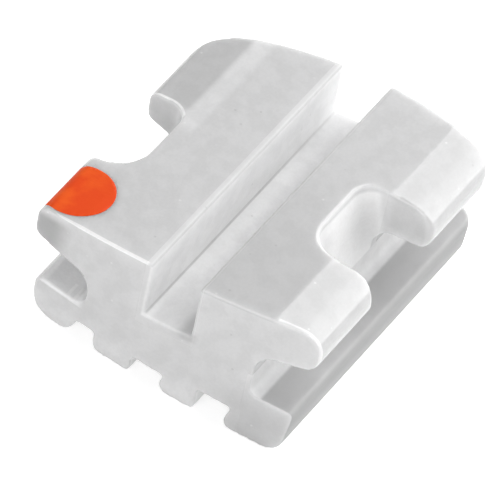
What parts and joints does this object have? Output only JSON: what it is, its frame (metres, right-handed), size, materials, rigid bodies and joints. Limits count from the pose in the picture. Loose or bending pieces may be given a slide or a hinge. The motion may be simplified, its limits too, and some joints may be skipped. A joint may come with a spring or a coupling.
{
  "type": "orthodontic bracket",
  "caption": "Moulded ceramic tooth bracket with a rectangular archwire slot, paired tie wings on each side, a grooved bonding base and a round paint dot on a wing tip.",
  "frame": {"origin": "middle of the bonding base, in the plane of its ridges", "axes": "+X along the archwire slot from the front end to the rear end, +Y to the wings that carry the paint dot, +Z away from the tooth"},
  "size_m": [0.0041, 0.0033, 0.0018],
  "materials": {
    "translucent_ceramic": "glossy, milky and slightly translucent",
    "dot_paint": "thin orange paint, satin"
  },
  "bodies": {
    "root": {"bracket_body": "translucent_ceramic", "identification_dot": "dot_paint"}
  },
  "joints": []
}
